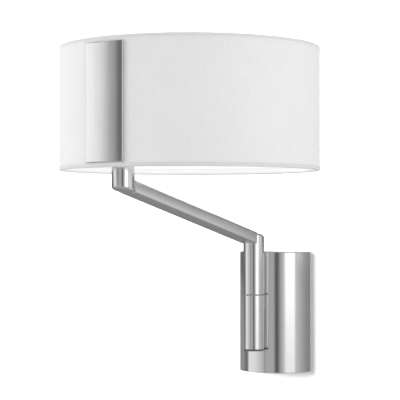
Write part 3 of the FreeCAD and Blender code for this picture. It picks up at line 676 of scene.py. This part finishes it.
def make_world():
    """Metal sees the studio, cloth and wall the softer light, and the camera plain white."""
    w = WorldNodes()
    bpy.context.scene.world = w.world
    place = w.add("TexCoord")
    apart = w.add("SeparateXYZ")
    w.link(place.outputs["Generated"], apart.inputs["Vector"])
    heading = w.math("ARCTAN2", apart.outputs["Y"], apart.outputs["X"])
    from_camera = math.radians(90 - CAMERA_AZIMUTH + 180)
    position = w.math("FRACT", w.math("DIVIDE", w.math("ADD", heading, from_camera), 2 * math.pi))
    height = apart.outputs["Z"]
    studio = ramp(w, round_the_lamp(STUDIO_BANDS), position)
    studio = w.blend(w.fade(height, *LOW_FADE), studio, ramp(w, round_the_lamp(LOW_BANDS), position))
    studio = w.blend(w.fade(height, *CEILING_GLOSS_FADE), studio, CEILING_GLOSS / BAND_TOP)
    studio = w.blend(w.fade(height, *FLOOR_GLOSS_FADE), studio, FLOOR_GLOSS / BAND_TOP)
    soft = ramp(w, round_the_lamp(SOFT_BANDS), position)
    soft = w.blend(w.fade(height, *CEILING_SOFT_FADE), soft, CEILING_SOFT / BAND_TOP)
    soft = w.blend(w.fade(height, *FLOOR_SOFT_FADE), soft, FLOOR_SOFT / BAND_TOP)
    rays = w.add("LightPath")
    lit = w.blend(rays.outputs["Is Glossy Ray"], soft, studio)
    seen = w.blend(rays.outputs["Is Camera Ray"], lit, 1 / BAND_TOP)
    background = w.tree.nodes["Background"]
    background.inputs["Strength"].default_value = BAND_TOP
    w.link(seen, background.inputs["Color"])


WASH_AT = (-1.5, -2.5, 0.45)
WASH_AIM = (0.1, 0.0, 0.05)
WASH_SIZE = (0.9, 0.9)
WASH_WATTS = 120
GLOW_WATTS = 0.32
GLOW_R = 0.03


def area_light(name, place, target, size, watts):
    data = bpy.data.lights.new(name, "AREA")
    data.shape = "RECTANGLE"
    data.size, data.size_y = size
    data.energy = watts
    lamp = bpy.data.objects.new(name, data)
    bpy.context.scene.collection.objects.link(lamp)
    lamp.location = place
    lamp.rotation_euler = (Vector(target) - Vector(place)).to_track_quat("-Z", "Y").to_euler()
    lamp.visible_glossy = False
    lamp.visible_camera = False
    return lamp


def group(name, *things):
    collection = bpy.data.collections.new(name)
    for thing in things:
        collection.objects.link(thing)
    return collection


def make_lights(wall, cloth):
    """A soft light for the wall alone keeps it white, with a soft shadow by the lamp's foot.

    A faint one inside the shade lifts its white lining.
    """
    wash = area_light("wall_wash", WASH_AT, WASH_AIM, WASH_SIZE, WASH_WATTS)
    wash.light_linking.receiver_collection = group("wall_only", wall)
    wash.light_linking.blocker_collection = group("foot_only", frame["nodes"]["wall_cover"])
    data = bpy.data.lights.new("inside_glow", "POINT")
    data.energy = GLOW_WATTS
    data.shadow_soft_size = GLOW_R
    glow = bpy.data.objects.new("inside_glow", data)
    bpy.context.scene.collection.objects.link(glow)
    glow.location = SHADE_CENTRE
    glow.visible_glossy = False
    inside = group("inside_only", frame["nodes"]["shade_liner"], cloth)
    glow.light_linking.receiver_collection = inside
    glow.light_linking.blocker_collection = inside


# Brightness along the graded card that the shade's metal plate mirrors, by distance into the room.
CARD_STEPS = [
    (0.30, 1.4), (0.50, 1.38), (0.60, 1.28), (0.73, 1.12), (0.81, 0.98), (0.90, 0.8), (1.0, 0.6),
    (1.12, 0.5), (1.22, 0.34), (1.30, 0.2), (2.2, 0.18),
]
CARD_X = -0.62
CARD_BOTTOM = 0.16
CARD_TOP = 0.8


def make_card():
    """An upright glowing card that only mirrors see."""
    near, far = -CARD_STEPS[0][0], -CARD_STEPS[-1][0]
    corners = [(CARD_X, near, CARD_BOTTOM), (CARD_X, far, CARD_BOTTOM),
               (CARD_X, far, CARD_TOP), (CARD_X, near, CARD_TOP)]
    mesh = bpy.data.meshes.new("graded_card")
    mesh.from_pydata(corners, [], [(0, 1, 2, 3)])
    m = Nodes("graded_card")
    apart = m.add("SeparateXYZ")
    m.link(m.add("TexCoord").outputs["Object"], apart.inputs["Vector"])
    along = m.math("DIVIDE", m.math("SUBTRACT", apart.outputs["Y"], near), far - near)
    steps = [((distance + near) / (near - far), level) for distance, level in CARD_STEPS]
    glow = m.add("Emission")
    m.link(ramp(m, steps, along), glow.inputs["Color"])
    glow.inputs["Strength"].default_value = BAND_TOP
    m.link(glow.outputs[0], m.tree.nodes["Material Output"].inputs["Surface"])
    mesh.materials.append(m.material)
    card = put_on_stage("graded_card", mesh)
    card.visible_glossy = True
    card.visible_camera = False
    card.visible_diffuse = False
    card.visible_transmission = False
    card.visible_shadow = False


def make_camera():
    data = bpy.data.cameras.new("camera")
    data.lens = LENS_MM
    data.sensor_width = SENSOR_MM
    data.clip_start, data.clip_end = CLIP
    camera = bpy.data.objects.new("camera", data)
    bpy.context.scene.collection.objects.link(camera)
    camera.location = CAMERA_AT
    camera.rotation_euler = (math.radians(90 + CAMERA_PITCH), 0, math.radians(CAMERA_AZIMUTH))
    bpy.context.scene.camera = camera


def main():
    materials = make_materials()
    dress_cad_nodes(materials)
    cloth = make_cloth(materials["shade_cloth"])
    wall = make_wall()
    make_floor()
    make_world()
    make_lights(wall, cloth)
    make_card()
    make_camera()
    bpy.context.scene.view_settings.view_transform = "Standard"


main()
